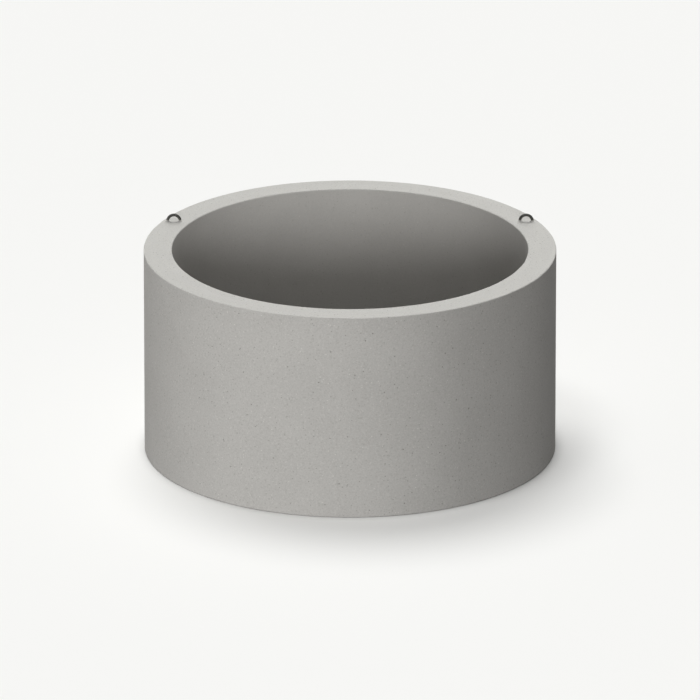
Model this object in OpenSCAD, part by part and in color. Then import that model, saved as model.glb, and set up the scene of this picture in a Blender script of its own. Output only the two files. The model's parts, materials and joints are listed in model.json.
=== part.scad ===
// Precast concrete wall ring for a well or a manhole shaft, with two cast-in lifting loops.
// It stands on its base at Z = 0, with its axis on the Z axis. All sizes are in millimetres.

/* [Ring] */
// Clear inner diameter
inner_d = 1000; // [700:50:2000]
// Thickness of the wall
wall_t = 80; // [80:5:160]
// Height from the base to the top face
ring_h = 590; // [290:10:990]
// Radius of the arris along each circular edge
arris_r = 3; // [1:0.5:6]

/* [Lifting loops] */
// Diameter of the plain round bar that each loop is bent from
bar_d = 8; // [6:1:12]
// Radius of the loop's bend, to the middle of the bar
bend_r = 17.5; // [14:0.5:22]
// Length of each straight leg, cast in below the top face
leg_l = 240; // [120:10:270]
// Distance from the inner wall to the middle of a loop
loop_inset = 49; // [34:1:49]
// Angle that both loops stand behind the ring's left-right line
loop_angle = 25; // [0:1:60]

/* [Hidden] */

inner_r = inner_d / 2;
bar_r = bar_d / 2;
loop_x = (inner_r + loop_inset) * cos(loop_angle);
loop_y = (inner_r + loop_inset) * sin(loop_angle);
left = -1;
right = 1;

concrete_grey = "#b4b2ad";
bar_grey = "#3c3c38";

ring_steps = 240;
arris_steps = 32;
bar_steps = 32;

// Upright rectangle whose corners are quarter circles
module rounded_rectangle(width, height, radius) {
    translate([radius, 0])
        square([width - 2 * radius, height]);
    translate([0, radius])
        square([width, height - 2 * radius]);
    for (x = [radius, width - radius], y = [radius, height - radius])
        translate([x, y])
            circle(r = radius, $fn = arris_steps);
}

// Section of the wall, to the right of the ring's axis
module wall_section() {
    translate([inner_r, 0])
        rounded_rectangle(wall_t, ring_h, arris_r);
}

// Point of the top face midway between the two legs of a loop
module at_loop(side) {
    translate([side * loop_x, loop_y, ring_h])
        children();
}

// The two straight legs, from the top face down
module legs() {
    for (x = [-bend_r, bend_r])
        translate([x, 0, -leg_l])
            cylinder(r = bar_r, h = leg_l, $fn = bar_steps);
}

// The half-round eye above the top face
module eye() {
    rotate([90, 0, 0])
        rotate_extrude(angle = 180, $fn = 2 * bar_steps)
            translate([bend_r, 0])
                circle(r = bar_r, $fn = bar_steps);
}

module concrete_ring() {
    color(concrete_grey)
        difference() {
            rotate_extrude($fn = ring_steps)
                wall_section();
            for (side = [left, right])
                at_loop(side)
                    legs();
        }
}

module lifting_loop(side) {
    color(bar_grey)
        at_loop(side) {
            legs();
            eye();
        }
}

concrete_ring();
lifting_loop(left);  // lifting_loop_left
lifting_loop(right);  // lifting_loop_right
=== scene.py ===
"""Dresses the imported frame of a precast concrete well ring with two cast-in lifting loops.

The ring and the loops are rebuilt as numpy surfaces inside the frame's own boxes: the ring as one
wall section carried round its axis, with the slight unevenness that a mould and a trowel leave, and
each loop as one round bar carried along its bent path.
"""

import json
import logging
import math
from collections.abc import Mapping, Sequence
from dataclasses import dataclass
from enum import Enum

import bpy
import numpy as np
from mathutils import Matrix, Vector


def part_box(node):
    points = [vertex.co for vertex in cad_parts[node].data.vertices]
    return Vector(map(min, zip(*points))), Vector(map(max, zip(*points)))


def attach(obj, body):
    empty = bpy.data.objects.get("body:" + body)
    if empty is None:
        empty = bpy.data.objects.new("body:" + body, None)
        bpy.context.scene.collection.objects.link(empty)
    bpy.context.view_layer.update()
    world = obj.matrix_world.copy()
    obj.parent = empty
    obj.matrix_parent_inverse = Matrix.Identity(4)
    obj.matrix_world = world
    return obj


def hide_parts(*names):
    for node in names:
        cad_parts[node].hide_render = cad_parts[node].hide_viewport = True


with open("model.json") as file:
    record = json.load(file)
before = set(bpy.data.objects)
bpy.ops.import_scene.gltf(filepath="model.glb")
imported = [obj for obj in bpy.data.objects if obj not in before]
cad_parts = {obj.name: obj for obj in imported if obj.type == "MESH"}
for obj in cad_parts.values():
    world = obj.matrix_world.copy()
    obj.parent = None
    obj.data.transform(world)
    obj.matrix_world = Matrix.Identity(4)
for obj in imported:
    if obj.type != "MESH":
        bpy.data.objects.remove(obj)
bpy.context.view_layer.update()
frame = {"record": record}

log = logging.getLogger("well_ring")

MM = 0.001
BODY = "root"
# How far below the ring's middle the camera aims
DROP = 9 * MM

# Where a colour Mix node has its sockets: the factor, the two colours and their mix
MIX_FACTOR, MIX_UNDER, MIX_OVER, MIX_COLOUR = 0, 6, 7, 2
# A noise's middle value, and how much its finer detail counts
NOISE_MIDDLE, NOISE_ROUGHNESS = 0.5, 0.55


class Side(Enum):
    """The two places of a lifting loop, seen from the front."""

    LEFT = "left"
    RIGHT = "right"


# -----------------------------------------------------------------------------
# Helpers
# -----------------------------------------------------------------------------


def linear(hex_colour: str) -> tuple[float, float, float, float]:
    """Turns an sRGB hex colour into linear light.

    Args:
        hex_colour: six hex digits after a hash.

    Returns:
        Red, green, blue and an alpha of 1, each from 0 to 1.
    """
    coded = np.array([int(hex_colour[i : i + 2], 16) for i in (1, 3, 5)]) / 255
    light = np.where(coded <= 0.04045, coded / 12.92, ((coded + 0.055) / 1.055) ** 2.4)
    return (*(float(v) for v in light), 1.0)


def add_node(
    tree: bpy.types.NodeTree,
    kind: str,
    settings: Mapping[str, object] | None = None,
    inputs: Mapping[str | int, object] | None = None,
) -> bpy.types.Node:
    """Adds a node to a material, with its settings, and fills or links its inputs.

    Args:
        tree: the material's node tree.
        kind: the node's type.
        settings: the node's own properties.
        inputs: for each input socket, by name or number, a value or the output socket that feeds it.

    Returns:
        The new node.
    """
    node = tree.nodes.new(kind)
    for name, value in (settings or {}).items():
        setattr(node, name, value)
    for key, value in (inputs or {}).items():
        if isinstance(value, bpy.types.NodeSocket):
            tree.links.new(value, node.inputs[key])
        else:
            node.inputs[key].default_value = value
    return node


def empty_material(name: str) -> bpy.types.Material:
    """Makes a material with no nodes in its tree.

    Args:
        name: the material's name.

    Returns:
        The material.
    """
    made = bpy.data.materials.new(name)
    made.use_nodes = True
    made.node_tree.nodes.clear()
    return made


def surface_object(
    name: str,
    grids: Sequence[np.ndarray],
    close_rows: bool,
    attributes: Mapping[str, np.ndarray] | None = None,
) -> bpy.types.Object:
    """Makes closed surfaces from grids of points whose columns run round a closed section.

    In each grid point (i, j) is joined to (i + 1, j) and (i, j + 1), and the last column to the
    first one. The rows are joined end to end in the same way, or each end is closed with one flat
    face.

    Args:
        name: the object's name.
        grids: points of each surface, rows x columns x 3, in metres.
        close_rows: True to join the last row of a grid to its first one.
        attributes: for each name, one number or one vector for each point of all the grids in turn.

    Returns:
        The object, linked to the scene, with smooth faces.
    """
    faces: list[list[int]] = []
    first = 0
    for grid in grids:
        rows, columns = grid.shape[:2]
        number = first + np.arange(rows * columns).reshape(rows, columns)
        first += rows * columns
        if close_rows:
            number = np.vstack([number, number[:1]])
        number = np.hstack([number, number[:, :1]])
        corners = [number[:-1, :-1], number[1:, :-1], number[1:, 1:], number[:-1, 1:]]
        faces += np.stack(corners, axis=-1).reshape(-1, 4).tolist()
        if not close_rows:
            faces += [number[0, :-1].tolist(), number[-1, -2::-1].tolist()]
    mesh = bpy.data.meshes.new(name)
    mesh.from_pydata(np.vstack([grid.reshape(-1, 3) for grid in grids]).tolist(), [], faces)
    for key, values in (attributes or {}).items():
        kind, slot = ("FLOAT_VECTOR", "vector") if values.shape[-1] == 3 else ("FLOAT", "value")
        layer = mesh.attributes.new(key, kind, "POINT")
        layer.data.foreach_set(slot, values.astype(np.float32).ravel())
    mesh.shade_smooth()
    piece = bpy.data.objects.new(name, mesh)
    bpy.context.scene.collection.objects.link(piece)
    return piece


@dataclass(frozen=True)
class RandomWaves:
    """A smooth uneven field that closes on itself both ways, from 0 to 1.

    It is the sum of plane waves cos(m * across + n * along + phase), each with whole numbers m and n
    of turns and an amplitude 1 / (softness + fineness), then shifted and scaled so that it runs from
    0 to 1. A wave's fineness is its turns as a share of the most turns, hypot(m / most, n / most).

    Attributes:
        fewest: the fewest turns across and along.
        most: the most turns across and along.
        count: the number of waves.
        seed: the seed of their turns and phases.
        softness: keeps the coarsest waves from outweighing all others.
    """

    fewest: tuple[int, int]
    most: tuple[int, int]
    count: int
    seed: int
    softness: float = 0.15

    def field(self, across: np.ndarray, along: np.ndarray, variant: int = 0) -> np.ndarray:
        """Works the field out.

        Args:
            across: angles in radians, one for each row.
            along: angles in radians, one for each column.
            variant: a number added to the seed, for another field of the same kind.

        Returns:
            The field, rows x columns.
        """
        draw = np.random.default_rng(self.seed + variant)
        m = draw.integers(self.fewest[0], self.most[0], self.count, endpoint=True)
        n = draw.integers(self.fewest[1], self.most[1], self.count, endpoint=True)
        n = n * draw.choice([-1, 1], self.count)
        fineness = np.hypot(m / max(self.most[0], 1), n / max(self.most[1], 1))
        weight = np.exp(2j * np.pi * draw.random(self.count)) / (self.softness + fineness)
        waves = np.exp(1j * np.outer(across, m)) * weight
        total = (waves @ np.exp(1j * np.outer(n, along))).real
        return (total - total.min()) / np.ptp(total)


# -----------------------------------------------------------------------------
# Finishes
# -----------------------------------------------------------------------------


class Slope(Enum):
    """How a coat's share changes between its two ends."""

    SOFT = "SMOOTHSTEP"
    EVEN = "LINEAR"


@dataclass(frozen=True)
class Patches:
    """A random pattern of soft patches.

    Attributes:
        size_mm: how large a patch is.
        detail: how many finer octaves break its outline.
        low: the pattern's value up to which a place counts as fully low.
        high: the value from which it counts as fully high.
        shown: how much of what it brings is seen, from 0 to 1.
    """

    size_mm: float
    detail: float
    low: float
    high: float
    shown: float = 1.0

    @property
    def inputs(self) -> dict[str, float]:
        """The noise's inputs, without its vector."""
        scale = 1 / (self.size_mm * MM)
        return {"Scale": scale, "Detail": self.detail, "Roughness": NOISE_ROUGHNESS}


@dataclass(frozen=True)
class Coat:
    """A colour that shows over what lies under it as far as a pattern says.

    Attributes:
        colour: an sRGB hex colour, or the socket that gives it.
        pattern: the socket of the pattern.
        start: the pattern's value where the coat's share is least.
        end: the pattern's value where its share is most; beyond the two it stays level.
        least: the least share.
        most: the most share, which is cut off at 1 once the mask has multiplied it.
        mask: the socket of a second pattern that multiplies the share.
        slope: how the share changes in between.
    """

    colour: str | bpy.types.NodeSocket
    pattern: bpy.types.NodeSocket
    start: float
    end: float
    least: float = 0.0
    most: float = 1.0
    mask: bpy.types.NodeSocket | float = 1.0
    slope: Slope = Slope.SOFT

    def lay(
        self,
        tree: bpy.types.NodeTree,
        under: bpy.types.NodeSocket | tuple[float, float, float, float],
    ) -> tuple[bpy.types.NodeSocket, bpy.types.NodeSocket]:
        """Lays the coat on.

        Args:
            tree: the material's node tree.
            under: the colour that the coat covers.

        Returns:
            The colour after this coat, and the coat's share.
        """
        ramp = add_node(
            tree,
            "ShaderNodeMapRange",
            {"interpolation_type": self.slope.value},
            {
                "Value": self.pattern,
                "From Min": self.start,
                "From Max": self.end,
                "To Min": self.least,
                "To Max": self.most,
            },
        )
        share = add_node(
            tree,
            "ShaderNodeMath",
            {"operation": "MULTIPLY", "use_clamp": True},
            {0: ramp.outputs["Result"], 1: self.mask},
        ).outputs["Value"]
        over = linear(self.colour) if isinstance(self.colour, str) else self.colour
        mix = add_node(
            tree,
            "ShaderNodeMix",
            {"data_type": "RGBA"},
            {MIX_FACTOR: share, MIX_UNDER: under, MIX_OVER: over},
        )
        return mix.outputs[MIX_COLOUR], share


@dataclass(frozen=True)
class CastConcrete:
    """Grey precast concrete, vibrated in a steel mould and trowelled on top.

    Its skin is cement paste: matt and nearly even, clouded a little, with a fine salt-and-pepper of
    sand, and a few small air pores painted dark for the shade inside them. Its top face is painted
    paler for the light that falls on it from above.
    """

    paste_light: str = "#bab8b4"
    paste_dark: str = "#b7b5b1"
    sand_dark: str = "#97958f"
    sand_light: str = "#cfcdc8"
    # The air pores' colour: painted shade inside each hole
    pore_shade: str = "#8b8983"
    # The top face's colour, painted paler for the light that falls on it from above
    trowelled_and_lit_top: str = "#c4c3be"
    # The paste's clouds in colour and in sheen, and the trowel's passes
    mottle: Patches = Patches(size_mm=150.0, detail=5.0, low=0.35, high=0.65)
    sheen: Patches = Patches(size_mm=28.0, detail=4.0, low=0.3, high=0.7)
    passes: Patches = Patches(size_mm=18.0, detail=3.0, low=0.3, high=0.7, shown=0.25)
    # Sand is 0.5 to 2 mm across: its coarser part is drawn over twice as large, or it would not show
    sand: Patches = Patches(size_mm=4.5, detail=3.0, low=0.24, high=0.76, shown=0.5)
    fines: Patches = Patches(size_mm=1.6, detail=2.0, low=0.24, high=0.76, shown=0.3)
    # Half the span of a speckle's middle values that leave the paste bare
    calm: float = 0.02
    grain_mm: float = 4.5
    grain_spacing_mm: float = 13.0
    # Above 1, so that a grain is solid nearly to its edge
    grain_shown: float = 2.0
    # A cell's colour up to which its grain is dark, and from which it is pale
    dark_to: float = 0.5
    pale_from: float = 0.6
    # How far a pore reaches from its middle, and what share of that is its flat floor
    pore_mm: float = 2.2
    pore_floor: float = 0.45
    pore_spacing_mm: float = 26.0
    # From which wear on an arris the paste is lost, and how much paler it is there
    worn_from: float = 0.2
    worn_shown: float = 0.35
    # A porous skin reflects less than a smooth one of the same stone
    specular: float = 0.25
    roughest: float = 0.95
    smoothest: float = 0.86
    trowel_polish: float = 0.08
    relief_mm: float = 0.5
    relief_strength: float = 0.7
    # Heights in the relief beside the sand's own
    fines_height: float = 0.6
    pore_depth: float = 3.0

    def material(self) -> bpy.types.Material:
        """Builds the node material, on Object coordinates and the ring's own attributes.

        The attributes are trowelled (1 on the top face), bare_sand (how much sand shows), arris (how
        worn an edge is) and sweep (a place on the skin, drawn together along the trowel's way).

        Returns:
            The material.
        """
        made = empty_material("precast_concrete_steel_moulded")
        tree = made.node_tree
        place = add_node(tree, "ShaderNodeTexCoord").outputs["Object"]
        top, edge, bare, sweep = (
            add_node(tree, "ShaderNodeAttribute", {"attribute_name": name}).outputs[output]
            for name, output in (
                ("trowelled_and_lit_top", "Fac"),
                ("arris", "Fac"),
                ("bare_sand", "Fac"),
                ("sweep", "Vector"),
            )
        )
        mottle, sheen, passes, sand, fines = (
            add_node(
                tree,
                "ShaderNodeTexNoise",
                inputs={"Vector": where, **patches.inputs},
            ).outputs["Fac"]
            for patches, where in (
                (self.mottle, place),
                (self.sheen, place),
                (self.passes, sweep),
                (self.sand, place),
                (self.fines, place),
            )
        )

        # Large soft clouds of the paste, which keep the wall from looking like paint
        clouds = Coat(self.paste_light, mottle, self.mottle.low, self.mottle.high)
        colour, _ = clouds.lay(tree, linear(self.paste_dark))

        # The top face is painted paler for the light that falls on it from above,
        # and clouded by the trowel's passes round the ring
        skin = Coat(
            self.trowelled_and_lit_top,
            passes,
            self.passes.high,
            self.passes.low,
            least=1 - self.passes.shown,
            mask=top,
        )
        colour, _ = skin.lay(tree, colour)

        # The cement itself is grainy, dark and pale
        for grade, speckle in ((self.sand, sand), (self.fines, fines)):
            dark = Coat(
                self.sand_dark,
                speckle,
                NOISE_MIDDLE - self.calm,
                grade.low,
                most=grade.shown,
                mask=bare,
            )
            pale = Coat(
                self.sand_light,
                speckle,
                NOISE_MIDDLE + self.calm,
                grade.high,
                most=grade.shown,
                mask=bare,
            )
            colour, _ = dark.lay(tree, colour)
            colour, _ = pale.lay(tree, colour)

        # Coarser sand grains show in it: one grain in each cell of a 3-D pattern, so that the skin cuts
        # only some of them, in different sizes. The cell's own colour says whether it is dark or pale.
        # The sand's noise shifts the cells, which keeps grains and pores from being true circles.
        uneven = add_node(
            tree,
            "ShaderNodeVectorMath",
            {"operation": "MULTIPLY_ADD"},
            {0: sand, 1: (self.pore_mm * MM,) * 3, 2: place},
        ).outputs["Vector"]
        grains, pores = (
            add_node(
                tree,
                "ShaderNodeTexVoronoi",
                inputs={"Vector": uneven, "Scale": 1 / (spacing * MM)},
            )
            for spacing in (self.grain_spacing_mm, self.pore_spacing_mm)
        )
        kinds = Coat(self.sand_light, grains.outputs["Color"], self.dark_to, self.pale_from)
        stone, _ = kinds.lay(tree, linear(self.sand_dark))
        grain = Coat(
            stone,
            grains.outputs["Distance"],
            self.grain_mm / self.grain_spacing_mm / 2,
            0.0,
            most=self.grain_shown,
            mask=bare,
        )
        colour, _ = grain.lay(tree, colour)

        # Air pores, sparse and round, each painted dark for the shade inside the hole
        reach = self.pore_mm / self.pore_spacing_mm
        pore_shade = Coat(
            self.pore_shade,
            pores.outputs["Distance"],
            reach,
            reach * self.pore_floor,
            mask=bare,
        )
        colour, hollow = pore_shade.lay(tree, colour)

        # Worn arrises have lost a little paste and are paler
        wear = Coat(self.sand_light, edge, self.worn_from, 1.0, most=self.worn_shown)
        colour, _ = wear.lay(tree, colour)

        # Matt all over, a little less so where the trowel closed the skin
        matt = add_node(
            tree,
            "ShaderNodeMapRange",
            inputs={
                "Value": sheen,
                "From Min": self.sheen.low,
                "From Max": self.sheen.high,
                "To Min": self.smoothest,
                "To Max": self.roughest,
            },
        ).outputs["Result"]
        polished = add_node(
            tree,
            "ShaderNodeMath",
            {"operation": "MULTIPLY_ADD"},
            {0: top, 1: -self.trowel_polish, 2: matt},
        ).outputs["Value"]

        # The relief: the sand, the fines, and the pores as small holes
        relief = sand
        for layer, height in ((fines, self.fines_height), (hollow, -self.pore_depth)):
            relief = add_node(
                tree,
                "ShaderNodeMath",
                {"operation": "MULTIPLY_ADD"},
                {0: layer, 1: height, 2: relief},
            ).outputs["Value"]
        bump = add_node(
            tree,
            "ShaderNodeBump",
            inputs={
                "Strength": self.relief_strength,
                "Distance": self.relief_mm * MM,
                "Height": relief,
            },
        )
        shader = add_node(
            tree,
            "ShaderNodeBsdfPrincipled",
            inputs={
                "Base Color": colour,
                "Roughness": polished,
                "Specular IOR Level": self.specular,
                "Normal": bump.outputs["Normal"],
            },
        )
        add_node(tree, "ShaderNodeOutputMaterial", inputs={"Surface": shader.outputs["BSDF"]})
        return made


@dataclass(frozen=True)
class HotRolledBar:
    """Plain mild steel bar as it leaves the mill.

    It is dark grey, half metal and half scale, a little duller in patches, with a thin film of
    cement where it meets the top face.
    """

    scale: str = "#3c3c38"
    scale_dull: str = "#484742"
    cement: str = "#8f8d87"
    # Mill scale is drawn in patches a little smaller than the bar is thick
    patches: Patches = Patches(size_mm=7.0, detail=4.0, low=0.4, high=0.65)
    film_mm: float = 3.0
    film_shown: float = 0.55
    # How far the film's edge wanders, in film heights
    film_wander: float = 2.0
    metallic: float = 0.4
    smoothest: float = 0.52
    roughest: float = 0.7
    relief_mm: float = 0.15
    relief_strength: float = 0.3

    def material(self, face: float) -> bpy.types.Material:
        """Builds the node material, on Object coordinates.

        Args:
            face: the height of the concrete's top face, in metres.

        Returns:
            The material.
        """
        made = empty_material("mild_steel_hot_rolled")
        tree = made.node_tree
        place = add_node(tree, "ShaderNodeTexCoord").outputs["Object"]
        height = add_node(tree, "ShaderNodeSeparateXYZ", inputs={"Vector": place}).outputs["Z"]
        patches = add_node(
            tree,
            "ShaderNodeTexNoise",
            inputs={"Vector": place, **self.patches.inputs},
        ).outputs["Fac"]

        # Mill scale comes in small dark and duller patches
        low, high = self.patches.low, self.patches.high
        dull = Coat(self.scale_dull, patches, low, high, slope=Slope.EVEN)
        colour, worn = dull.lay(tree, linear(self.scale))

        # Cement splashed up the foot of each leg, with an uneven upper edge
        film_height = self.film_mm * MM
        edge = add_node(
            tree,
            "ShaderNodeMath",
            {"operation": "MULTIPLY_ADD"},
            {0: patches, 1: -self.film_wander * film_height, 2: height},
        ).outputs["Value"]
        film = Coat(
            self.cement,
            edge,
            face + film_height,
            face,
            most=self.film_shown,
            slope=Slope.EVEN,
        )
        colour, _ = film.lay(tree, colour)

        # Duller patches are rougher too
        rough = add_node(
            tree,
            "ShaderNodeMapRange",
            inputs={"Value": worn, "To Min": self.smoothest, "To Max": self.roughest},
        ).outputs["Result"]
        bump = add_node(
            tree,
            "ShaderNodeBump",
            inputs={
                "Strength": self.relief_strength,
                "Distance": self.relief_mm * MM,
                "Height": patches,
            },
        )
        shader = add_node(
            tree,
            "ShaderNodeBsdfPrincipled",
            inputs={
                "Base Color": colour,
                "Metallic": self.metallic,
                "Roughness": rough,
                "Normal": bump.outputs["Normal"],
            },
        )
        add_node(tree, "ShaderNodeOutputMaterial", inputs={"Surface": shader.outputs["BSDF"]})
        return made


@dataclass(frozen=True)
class StudioFloor:
    """Plain pale paint on a flat floor, fully matt."""

    paint: str = "#f4f4f2"

    def material(self) -> bpy.types.Material:
        """Builds the material.

        Returns:
            The material.
        """
        made = empty_material("matt_white_floor_paint")
        shader = add_node(
            made.node_tree,
            "ShaderNodeBsdfPrincipled",
            inputs={"Base Color": linear(self.paint), "Roughness": 1.0, "Specular IOR Level": 0.0},
        )
        add_node(
            made.node_tree,
            "ShaderNodeOutputMaterial",
            inputs={"Surface": shader.outputs["BSDF"]},
        )
        return made


# -----------------------------------------------------------------------------
# The object
# -----------------------------------------------------------------------------


@dataclass
class LiftingLoop:
    """A loop of plain round bar: two straight legs cast into the wall, and a half-round eye above.

    Attributes:
        side: where it stands.
        sides_of_bar: points round the bar.
        steps_of_bend: steps along the half circle.
        steps_of_leg: points along each leg.
    """

    side: Side
    sides_of_bar: int = 24
    steps_of_bend: int = 40
    steps_of_leg: int = 12

    def __post_init__(self) -> None:
        """Reads the loop's sizes and place from its packed box."""
        low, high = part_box(self.node)
        self.bar_radius = (high.y - low.y) / 2
        self.bend_radius = (high.x - low.x) / 2 - self.bar_radius
        bend_height = high.z - self.bar_radius - self.bend_radius
        self.middle = Vector(((low.x + high.x) / 2, (low.y + high.y) / 2, bend_height))
        self.leg_end = low.z

    @property
    def node(self) -> str:
        """The loop's node in the frame."""
        return f"lifting_loop_{self.side.value}"

    def feet(self) -> np.ndarray:
        """Where the bar's axis meets the top face, as two points in plan."""
        return np.array([[self.middle.x + way * self.bend_radius, self.middle.y] for way in (-1, 1)])

    def path(self) -> np.ndarray:
        """The bar's axis: straight up one leg, half a circle over the top, straight down the other.

        The half circle is (-radius * cos(turn), middle + radius * sin(turn)).

        Returns:
            Its points as (x, z), counted from the loop's middle line.
        """
        leg = np.linspace(self.leg_end, self.middle.z, self.steps_of_leg, endpoint=False)
        turn = np.linspace(0.0, np.pi, self.steps_of_bend + 1)
        up = np.stack([np.full_like(leg, -self.bend_radius), leg], axis=-1)
        across = -self.bend_radius * np.cos(turn)
        over = np.stack([across, self.middle.z + self.bend_radius * np.sin(turn)], axis=-1)
        down = up[::-1] * (-1, 1)
        return np.vstack([up, over, down])

    def build(self) -> bpy.types.Object:
        """Carries the bar's circle along the path.

        At each point of the path the circle stands square to it: its points are
        axis + radius * (cos(turn) * outwards + sin(turn) * Y), where outwards is the path's tangent
        turned by 90 degrees.

        Returns:
            The loop's object.
        """
        path = self.path()
        tangent = np.gradient(path, axis=0)
        tangent /= np.linalg.norm(tangent, axis=1, keepdims=True)
        turn = np.linspace(0.0, 2 * np.pi, self.sides_of_bar, endpoint=False)
        outwards = np.stack([-tangent[:, 1], tangent[:, 0]], axis=-1)[:, None, :]
        flat = path[:, None, :] + self.bar_radius * np.cos(turn)[None, :, None] * outwards
        depth = np.broadcast_to(self.bar_radius * np.sin(turn), flat.shape[:2])
        points = [self.middle.x + flat[..., 0], self.middle.y + depth, flat[..., 1]]
        piece = surface_object(
            f"bar_loop_{self.side.value}",
            [np.stack(points, axis=-1)],
            close_rows=False,
        )
        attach(piece, BODY)
        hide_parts(self.node)
        return piece


@dataclass
class PasteCollars:
    """The little skirts of cement paste that climb a loop's legs where they leave the top face.

    Attributes:
        loop: the loop whose legs they stand round.
        face: the height of the top face.
        reach: how far a skirt spreads over the face, at its widest.
        climb: how far it climbs the bar.
        sunk: how far its outer edge lies below the face.
        root: how far its closed underside lies below the face.
        inside: where it starts inside the bar, as a share of the bar's radius.
        hollow: the power of its hollow curve.
        unevenness: by what share its reach changes on the way round.
        waves: how the reach changes.
        steps_round: points round the bar.
        steps_up: points up the hollow curve.
    """

    loop: LiftingLoop
    face: float
    reach: float = 8.0 * MM
    climb: float = 3.0 * MM
    sunk: float = 0.6 * MM
    root: float = 2.0 * MM
    inside: float = 0.85
    hollow: float = 2.5
    unevenness: float = 0.35
    waves: RandomWaves = RandomWaves(fewest=(1, 0), most=(5, 0), count=8, seed=11)
    steps_round: int = 48
    steps_up: int = 13

    def section(self) -> np.ndarray:
        """The skirt's section: up a hollow curve, then closed below the face.

        The curve's height is climb * (1 - share)^hollow - sunk, so that it leaves the face nearly
        level, its outer edge lies hidden below it, and it meets the bar steeply.

        Returns:
            Its points, as (share of the reach, height).
        """
        share = np.linspace(1.0, 0.0, self.steps_up)
        curve = np.stack([share, self.climb * (1 - share) ** self.hollow - self.sunk], axis=-1)
        below = np.array([[0.0, -self.root], [1.0, -self.root]])
        return np.vstack([curve, below])

    def build(self) -> bpy.types.Object:
        """Carries the section round each leg, with a reach that changes a little on the way.

        Its points are foot + (inside * bar's radius + reach * share) * (cos(turn), sin(turn)).

        Returns:
            The object of both skirts.
        """
        section = self.section()
        turn = np.linspace(0.0, 2 * np.pi, self.steps_round, endpoint=False)
        grids = []
        for number, foot in enumerate(self.loop.feet()):
            uneven = self.waves.field(turn, np.zeros(1), variant=number)
            reach = self.reach * (1 - self.unevenness * uneven)
            radius = self.inside * self.loop.bar_radius + reach * section[None, :, 0]
            height = self.face + np.broadcast_to(section[:, 1], radius.shape)
            x = foot[0] + radius * np.cos(turn)[:, None]
            y = foot[1] + radius * np.sin(turn)[:, None]
            grids.append(np.stack([x, y, height], axis=-1))
        # Each skirt counts as top face, so it takes the top's painted paler tone as well as its polish
        whole = np.ones((sum(grid[..., 0].size for grid in grids), 1))
        piece = surface_object(
            f"paste_collars_{self.loop.side.value}",
            grids,
            close_rows=True,
            attributes={"trowelled_and_lit_top": whole, "bare_sand": whole},
        )
        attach(piece, BODY)
        return piece


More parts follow.
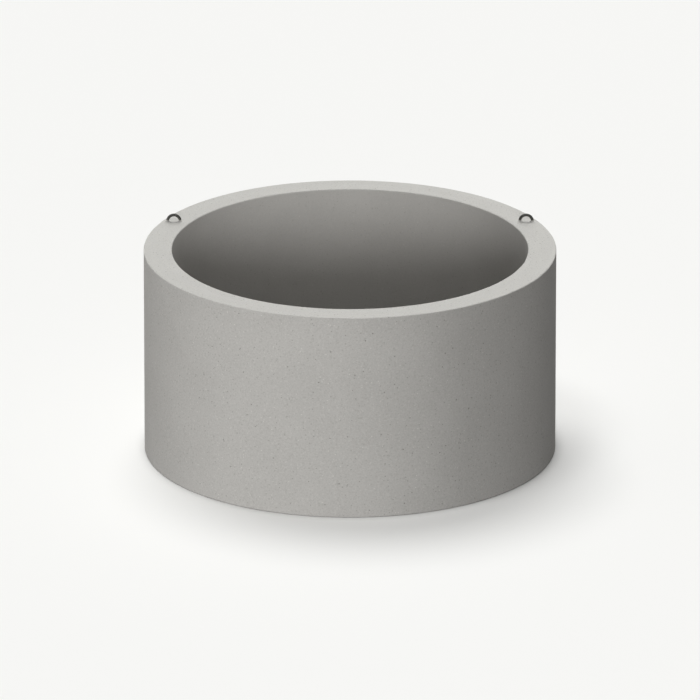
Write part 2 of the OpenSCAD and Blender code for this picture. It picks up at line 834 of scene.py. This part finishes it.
@dataclass
class ConcreteRing:
    """The wall ring: one section carried round the Z axis, uneven by less than a millimetre.

    Attributes:
        arris: the radius of its four rounded edges.
        guard: how near to an arris a flat run has its last extra point.
        unevenness: how deep the mould's and the trowel's slow waves are at most.
        wear: how deep an arris is worn at most.
        least_worn: the share of an arris's wear mark that shows where it is least worn.
        stretch: how many times longer than wide the trowel's marks are.
        bore_paste: how much of the sand the bore's skin of paste hides.
        slow: the waves of the faces.
        quick: the waves of the arrises.
        columns: sections round the ring.
        wall_steps: points up each wall.
        top_steps: points across the top face.
        base_steps: points across the base.
        arris_steps: points round each arris.
        node: the ring's node in the frame.
    """

    arris: float = 3 * MM
    guard: float = 1.2 * MM
    unevenness: float = 0.5 * MM
    wear: float = 0.9 * MM
    least_worn: float = 0.4
    stretch: float = 8.0
    bore_paste: float = 0.6
    slow: RandomWaves = RandomWaves(fewest=(0, 0), most=(26, 18), count=180, seed=3)
    quick: RandomWaves = RandomWaves(fewest=(9, 0), most=(150, 5), count=240, seed=4)
    columns: int = 800
    wall_steps: int = 30
    top_steps: int = 27
    base_steps: int = 5
    arris_steps: int = 6
    node: str = "concrete_ring"

    def __post_init__(self) -> None:
        """Reads the ring's sizes from the frame."""
        low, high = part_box(self.node)
        bore = next(m for m in frame["record"]["mounts"] if m["kind"] == "bore")
        self.height = high.z
        self.outer = (high.x - low.x) / 2
        self.bore = bore["dims"]["r_mm"] * MM

    def section(self) -> tuple[np.ndarray, np.ndarray]:
        """The wall's section, as points (radius, height) and outward normals.

        It runs up the outer wall, over the top face, down the bore and back along the base. A
        straight run has even steps, and one more a guard's length from each end, which keeps the
        arris's shading off the flat face. After run number n comes an arris: a quarter circle
        centre + arris * (cos(turn), sin(turn)), with turn from n to n + 1 quarter turns.

        Returns:
            The points and the normals, each stations x 2.
        """
        a = self.arris
        inner, outer, top = self.bore, self.outer, self.height
        runs = [
            ((outer, a), (outer, top - a), self.wall_steps, (outer - a, top - a)),
            ((outer - a, top), (inner + a, top), self.top_steps, (inner + a, top - a)),
            ((inner, top - a), (inner, a), self.wall_steps, (inner + a, a)),
            ((inner + a, 0.0), (outer - a, 0.0), self.base_steps, (outer - a, a)),
        ]
        points, normals = [], []
        for number, (start, end, steps, centre) in enumerate(runs):
            start, end = np.array(start), np.array(end)
            length = np.linalg.norm(end - start)
            even = np.linspace(self.guard, length - self.guard, steps)
            along = np.concatenate([[0.0], even])
            way = (end - start) / length
            points.append(start + along[:, None] * way)
            normals.append(np.broadcast_to([way[1], -way[0]], points[-1].shape))
            quarters = number + np.linspace(0.0, 1.0, self.arris_steps, endpoint=False)
            turn = np.pi / 2 * quarters
            round_way = np.stack([np.cos(turn), np.sin(turn)], axis=-1)
            points.append(np.array(centre) + a * round_way)
            normals.append(round_way)
        return np.vstack(points), np.vstack(normals)

    def build(self) -> bpy.types.Object:
        """Carries the section round the axis, and sinks it a little along its normals.

        The depth is unevenness * slow waves, none on the base, which stands flat, plus
        wear * quick waves squared on the arrises alone. A station lies on an arris by
        2 * |normal's radius part * normal's height part|, which is 0 on the flat runs and 1 halfway
        round. The top counts as trowelled by its normal's height part squared.

        Returns:
            The ring's object.
        """
        points, normals = self.section()
        turn = np.linspace(0.0, 2 * np.pi, self.columns, endpoint=False)
        steps = np.linalg.norm(np.diff(points, axis=0, append=points[:1]), axis=1)
        travelled = np.concatenate([[0.0], np.cumsum(steps)[:-1]])
        along = 2 * np.pi * travelled / steps.sum()

        slow = self.slow.field(turn, along)
        quick = self.quick.field(turn, along)
        outwards, upwards = normals.T
        off_base = np.clip(1 + upwards, 0.0, 1.0)
        on_arris = 2 * np.abs(outwards * upwards)
        depth = off_base * self.unevenness * slow + on_arris * self.wear * quick**2

        radius = points[:, 0] - depth * outwards
        height = points[:, 1] - depth * upwards
        round_way = np.stack([np.cos(turn), np.sin(turn)], axis=-1)[:, None, :]
        grid = np.concatenate([radius[..., None] * round_way, height[..., None]], axis=-1)

        # Sweep: a place on the skin, drawn together along the ring's turn
        shape = (self.columns, len(points))
        middle = (self.outer + self.bore) / 2
        circle = np.broadcast_to(middle / self.stretch * round_way, (*shape, 2))
        sweep = np.concatenate([circle, np.broadcast_to(travelled[:, None], (*shape, 1))], axis=-1)
        # 1 on the top face, which gets the trowel's polish and the top's painted paler tone for the
        # light from above
        trowelled_and_lit_top = np.broadcast_to(np.clip(upwards, 0.0, 1.0) ** 2, shape)
        bare_sand = np.broadcast_to(1 - self.bore_paste * np.clip(-outwards, 0.0, 1.0), shape)
        worn = on_arris * (self.least_worn + (1 - self.least_worn) * quick)
        piece = surface_object(
            "cast_wall_ring",
            [grid],
            close_rows=True,
            attributes={
                "sweep": sweep,
                "trowelled_and_lit_top": trowelled_and_lit_top[..., None],
                "bare_sand": bare_sand[..., None],
                "arris": worn[..., None],
            },
        )
        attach(piece, BODY)
        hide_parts(self.node)
        return piece


# -----------------------------------------------------------------------------
# The studio
# -----------------------------------------------------------------------------


class Receiver(Enum):
    """What a lamp lights, while everything still shades it."""

    RING = "lit_ring"
    FLOOR = "lit_floor"


@dataclass(frozen=True)
class SoftSun:
    """A wide, distant lamp, like a big white screen far away.

    Attributes:
        name: the lamp's name.
        azimuth_deg: where its light comes from, counted from the front towards the right.
        elevation_deg: how high it stands.
        spread_deg: how wide it looks.
        strength: its light, in watts per square metre.
        receiver: what it lights.
        through_floor: True if the floor does not shade it.
    """

    name: str
    azimuth_deg: float
    elevation_deg: float
    spread_deg: float
    strength: float
    receiver: Receiver
    through_floor: bool = False

    def build(self, lit: Mapping[Receiver, bpy.types.Collection]) -> bpy.types.Object:
        """Hangs the lamp.

        Args:
            lit: the collection of each receiver.

        Returns:
            The lamp.
        """
        lamp = bpy.data.lights.new(self.name, "SUN")
        lamp.energy = self.strength
        lamp.angle = math.radians(self.spread_deg)
        thing = bpy.data.objects.new(self.name, lamp)
        a, e = math.radians(self.azimuth_deg), math.radians(self.elevation_deg)
        towards = Vector((math.sin(a) * math.cos(e), -math.cos(a) * math.cos(e), math.sin(e)))
        thing.rotation_euler = towards.to_track_quat("Z", "Y").to_euler()
        thing.light_linking.receiver_collection = lit[self.receiver]
        if self.through_floor:
            thing.light_linking.blocker_collection = lit[Receiver.RING]
        bpy.context.scene.collection.objects.link(thing)
        return thing


@dataclass
class Studio:
    """Floor, light and camera.

    Attributes:
        suns: the lamps.
        ambient: the even light from above the horizon.
        backdrop: the colour seen past the floor's edge.
        elevation_deg: how high the camera stands.
        width_m: how wide its view is at the target.
        distance: how far off it is, in metres.
        sensor_mm: the width of its sensor.
        floor_side: the floor's side, in metres.
    """

    suns: Sequence[SoftSun]
    ambient: float = 0.14
    backdrop: str = "#f7f7f5"
    elevation_deg: float = 20.0
    width_m: float = 1.972
    distance: float = 40.0
    sensor_mm: float = 36.0
    floor_side: float = 400.0

    def floor(self) -> bpy.types.Object:
        """A flat floor at the ring's base.

        It takes light but gives none back, so that the ring's shaded side stays dark.

        Returns:
            The floor's object.
        """
        half = self.floor_side / 2
        corners = [(-half, -half, 0.0), (half, -half, 0.0), (half, half, 0.0), (-half, half, 0.0)]
        mesh = bpy.data.meshes.new("studio_floor")
        mesh.from_pydata(corners, [], [(0, 1, 2, 3)])
        thing = bpy.data.objects.new("studio_floor", mesh)
        thing.visible_diffuse = False
        bpy.context.scene.collection.objects.link(thing)
        mesh.materials.append(StudioFloor().material())
        return thing

    def camera(self, target: Vector) -> bpy.types.Object:
        """A long lens far away, which keeps the wall's sides upright.

        Args:
            target: the point it looks down at from the front.

        Returns:
            The camera.
        """
        lens = bpy.data.cameras.new("front_camera")
        lens.sensor_width = self.sensor_mm
        lens.lens = self.sensor_mm * self.distance / self.width_m
        thing = bpy.data.objects.new("front_camera", lens)
        e = math.radians(self.elevation_deg)
        back = Vector((0.0, -math.cos(e), math.sin(e)))
        thing.location = target + back * self.distance
        thing.rotation_euler = back.to_track_quat("Z", "Y").to_euler()
        bpy.context.scene.collection.objects.link(thing)
        bpy.context.scene.camera = thing
        return thing

    def world(self) -> None:
        """Even white light above the horizon, and the floor's own tone where a view passes its edge."""
        world = bpy.data.worlds.new("studio")
        world.use_nodes = True
        tree = world.node_tree
        tree.nodes.clear()
        way = add_node(tree, "ShaderNodeTexCoord").outputs["Generated"]
        height = add_node(tree, "ShaderNodeSeparateXYZ", inputs={"Vector": way}).outputs["Z"]
        above = add_node(tree, "ShaderNodeMath", {"operation": "GREATER_THAN"}, {0: height, 1: 0.0})
        sky = add_node(
            tree,
            "ShaderNodeMath",
            {"operation": "MULTIPLY"},
            {0: above.outputs["Value"], 1: self.ambient},
        ).outputs["Value"]
        white = (1.0, 1.0, 1.0, 1.0)
        light, seen = (
            add_node(tree, "ShaderNodeBackground", inputs={"Color": tone, "Strength": strength})
            for tone, strength in ((white, sky), (linear(self.backdrop), 1.0))
        )
        ray = add_node(tree, "ShaderNodeLightPath").outputs["Is Camera Ray"]
        either = add_node(
            tree,
            "ShaderNodeMixShader",
            inputs={0: ray, 1: light.outputs["Background"], 2: seen.outputs["Background"]},
        )
        add_node(tree, "ShaderNodeOutputWorld", inputs={"Surface": either.outputs["Shader"]})
        bpy.context.scene.world = world
        bpy.context.scene.view_settings.view_transform = "Standard"

    def build(self, target: Vector, pieces: Sequence[bpy.types.Object]) -> None:
        """Sets up the whole studio.

        Args:
            target: where the camera aims.
            pieces: the ring's pieces, which the ring's own lamps light.
        """
        self.world()
        lit = {receiver: bpy.data.collections.new(receiver.value) for receiver in Receiver}
        lit[Receiver.FLOOR].objects.link(self.floor())
        for piece in pieces:
            lit[Receiver.RING].objects.link(piece)
        self.camera(target)
        for sun in self.suns:
            sun.build(lit)


# The left screen stands lower than the top face, so it lights the outer wall and never reaches into
# the bore. The front screen stands just above it, so the bore's far wall darkens downwards. The rear
# screen lights the top face. The floor has lamps of its own: one straight down, which gives no
# shadow, one behind that throws a short soft one to the front right, and a faint one beside it.
SUNS = (
    SoftSun(
        "left_screen",
        azimuth_deg=-56.0,
        elevation_deg=-4.0,
        spread_deg=7.0,
        strength=1.34,
        receiver=Receiver.RING,
        through_floor=True,
    ),
    SoftSun(
        "front_screen",
        azimuth_deg=0.0,
        elevation_deg=8.0,
        spread_deg=16.0,
        strength=1.38,
        receiver=Receiver.RING,
    ),
    SoftSun(
        "front_ceiling",
        azimuth_deg=0.0,
        elevation_deg=24.0,
        spread_deg=40.0,
        strength=0.26,
        receiver=Receiver.RING,
    ),
    SoftSun(
        "rear_screen",
        azimuth_deg=180.0,
        elevation_deg=40.0,
        spread_deg=60.0,
        strength=3.6,
        receiver=Receiver.RING,
    ),
    SoftSun(
        "floor_ceiling",
        azimuth_deg=0.0,
        elevation_deg=90.0,
        spread_deg=6.0,
        strength=0.9,
        receiver=Receiver.FLOOR,
    ),
    SoftSun(
        "floor_rear_left",
        azimuth_deg=-166.0,
        elevation_deg=67.0,
        spread_deg=32.0,
        strength=1.58,
        receiver=Receiver.FLOOR,
    ),
    SoftSun(
        "floor_front_left",
        azimuth_deg=-48.0,
        elevation_deg=72.0,
        spread_deg=16.0,
        strength=0.44,
        receiver=Receiver.FLOOR,
    ),
)


def main() -> None:
    """Builds and dresses every piece, and sets up the studio."""
    logging.basicConfig(level=logging.INFO, format="%(name)s: %(message)s")
    ring = ConcreteRing()
    loops = [LiftingLoop(side) for side in Side]
    concrete = CastConcrete().material()
    bar = HotRolledBar().material(ring.height)
    dressed = [(ring.build(), concrete)]
    dressed += [(loop.build(), bar) for loop in loops]
    dressed += [(PasteCollars(loop, ring.height).build(), concrete) for loop in loops]
    for piece, finish in dressed:
        piece.data.materials.append(finish)
        log.info("%s: %d faces, %s", piece.name, len(piece.data.polygons), finish.name)
    target = Vector((0.0, 0.0, ring.height / 2 - DROP))
    Studio(SUNS).build(target, [piece for piece, _ in dressed])


if __name__ == "__main__":
    main()
